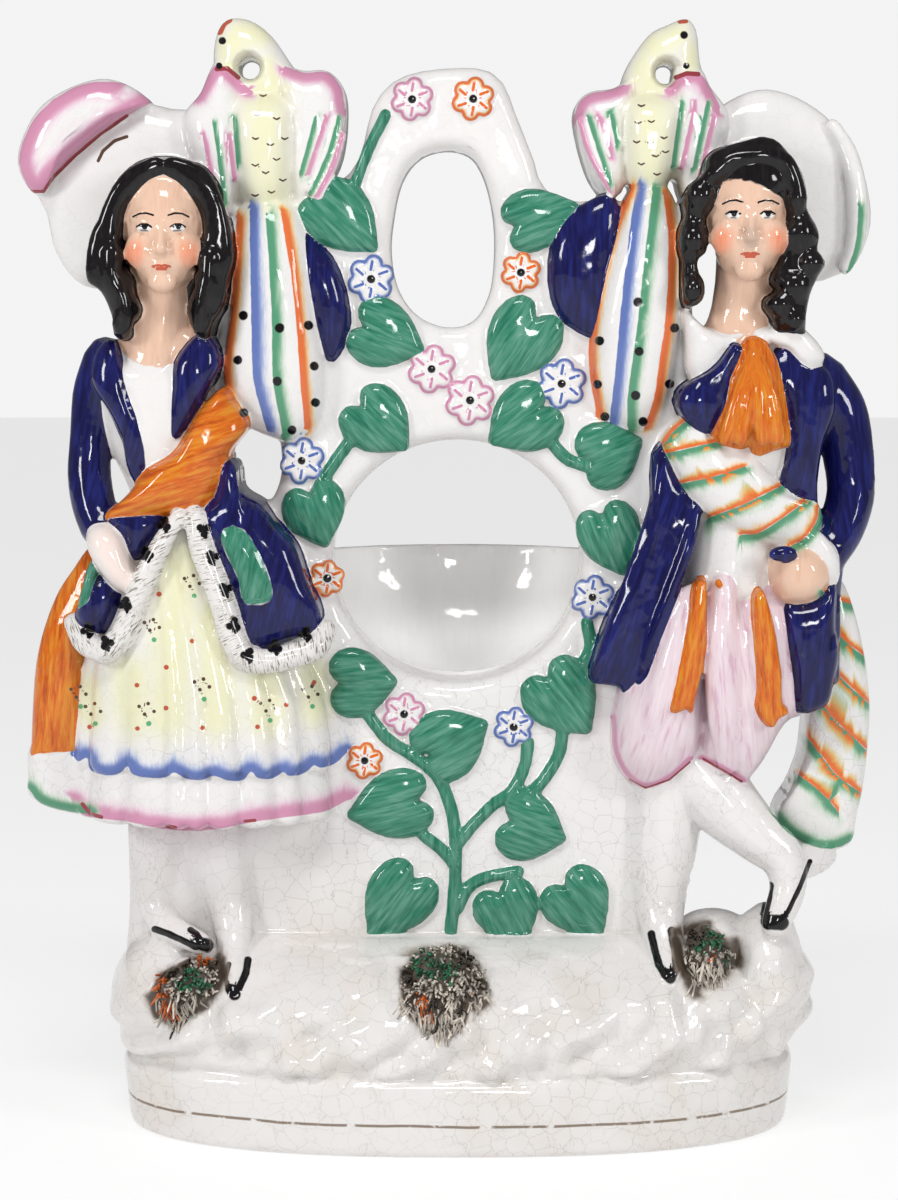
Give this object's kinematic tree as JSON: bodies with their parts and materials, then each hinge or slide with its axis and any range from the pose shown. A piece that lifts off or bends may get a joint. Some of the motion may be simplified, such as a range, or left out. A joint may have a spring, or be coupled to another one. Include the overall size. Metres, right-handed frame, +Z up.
{
  "type": "watch stand figure group",
  "caption": "Glazed earthenware watch stand: a woman and a man, each with a bird on a raised arm, beside a flowering arch with a round window and a cup behind it.",
  "frame": {"origin": "middle of the flat underside of the oval base", "axes": "+Z up through the figures' heads, -Y towards the viewer out of the painted front, +X towards the man's side"},
  "size_m": [0.2055, 0.0826, 0.2729],
  "materials": {
    "glazed_earthenware": "clear glossy glaze over white clay, painted in enamels"
  },
  "bodies": {
    "root": {"figure_group": "glazed_earthenware"}
  },
  "joints": []
}
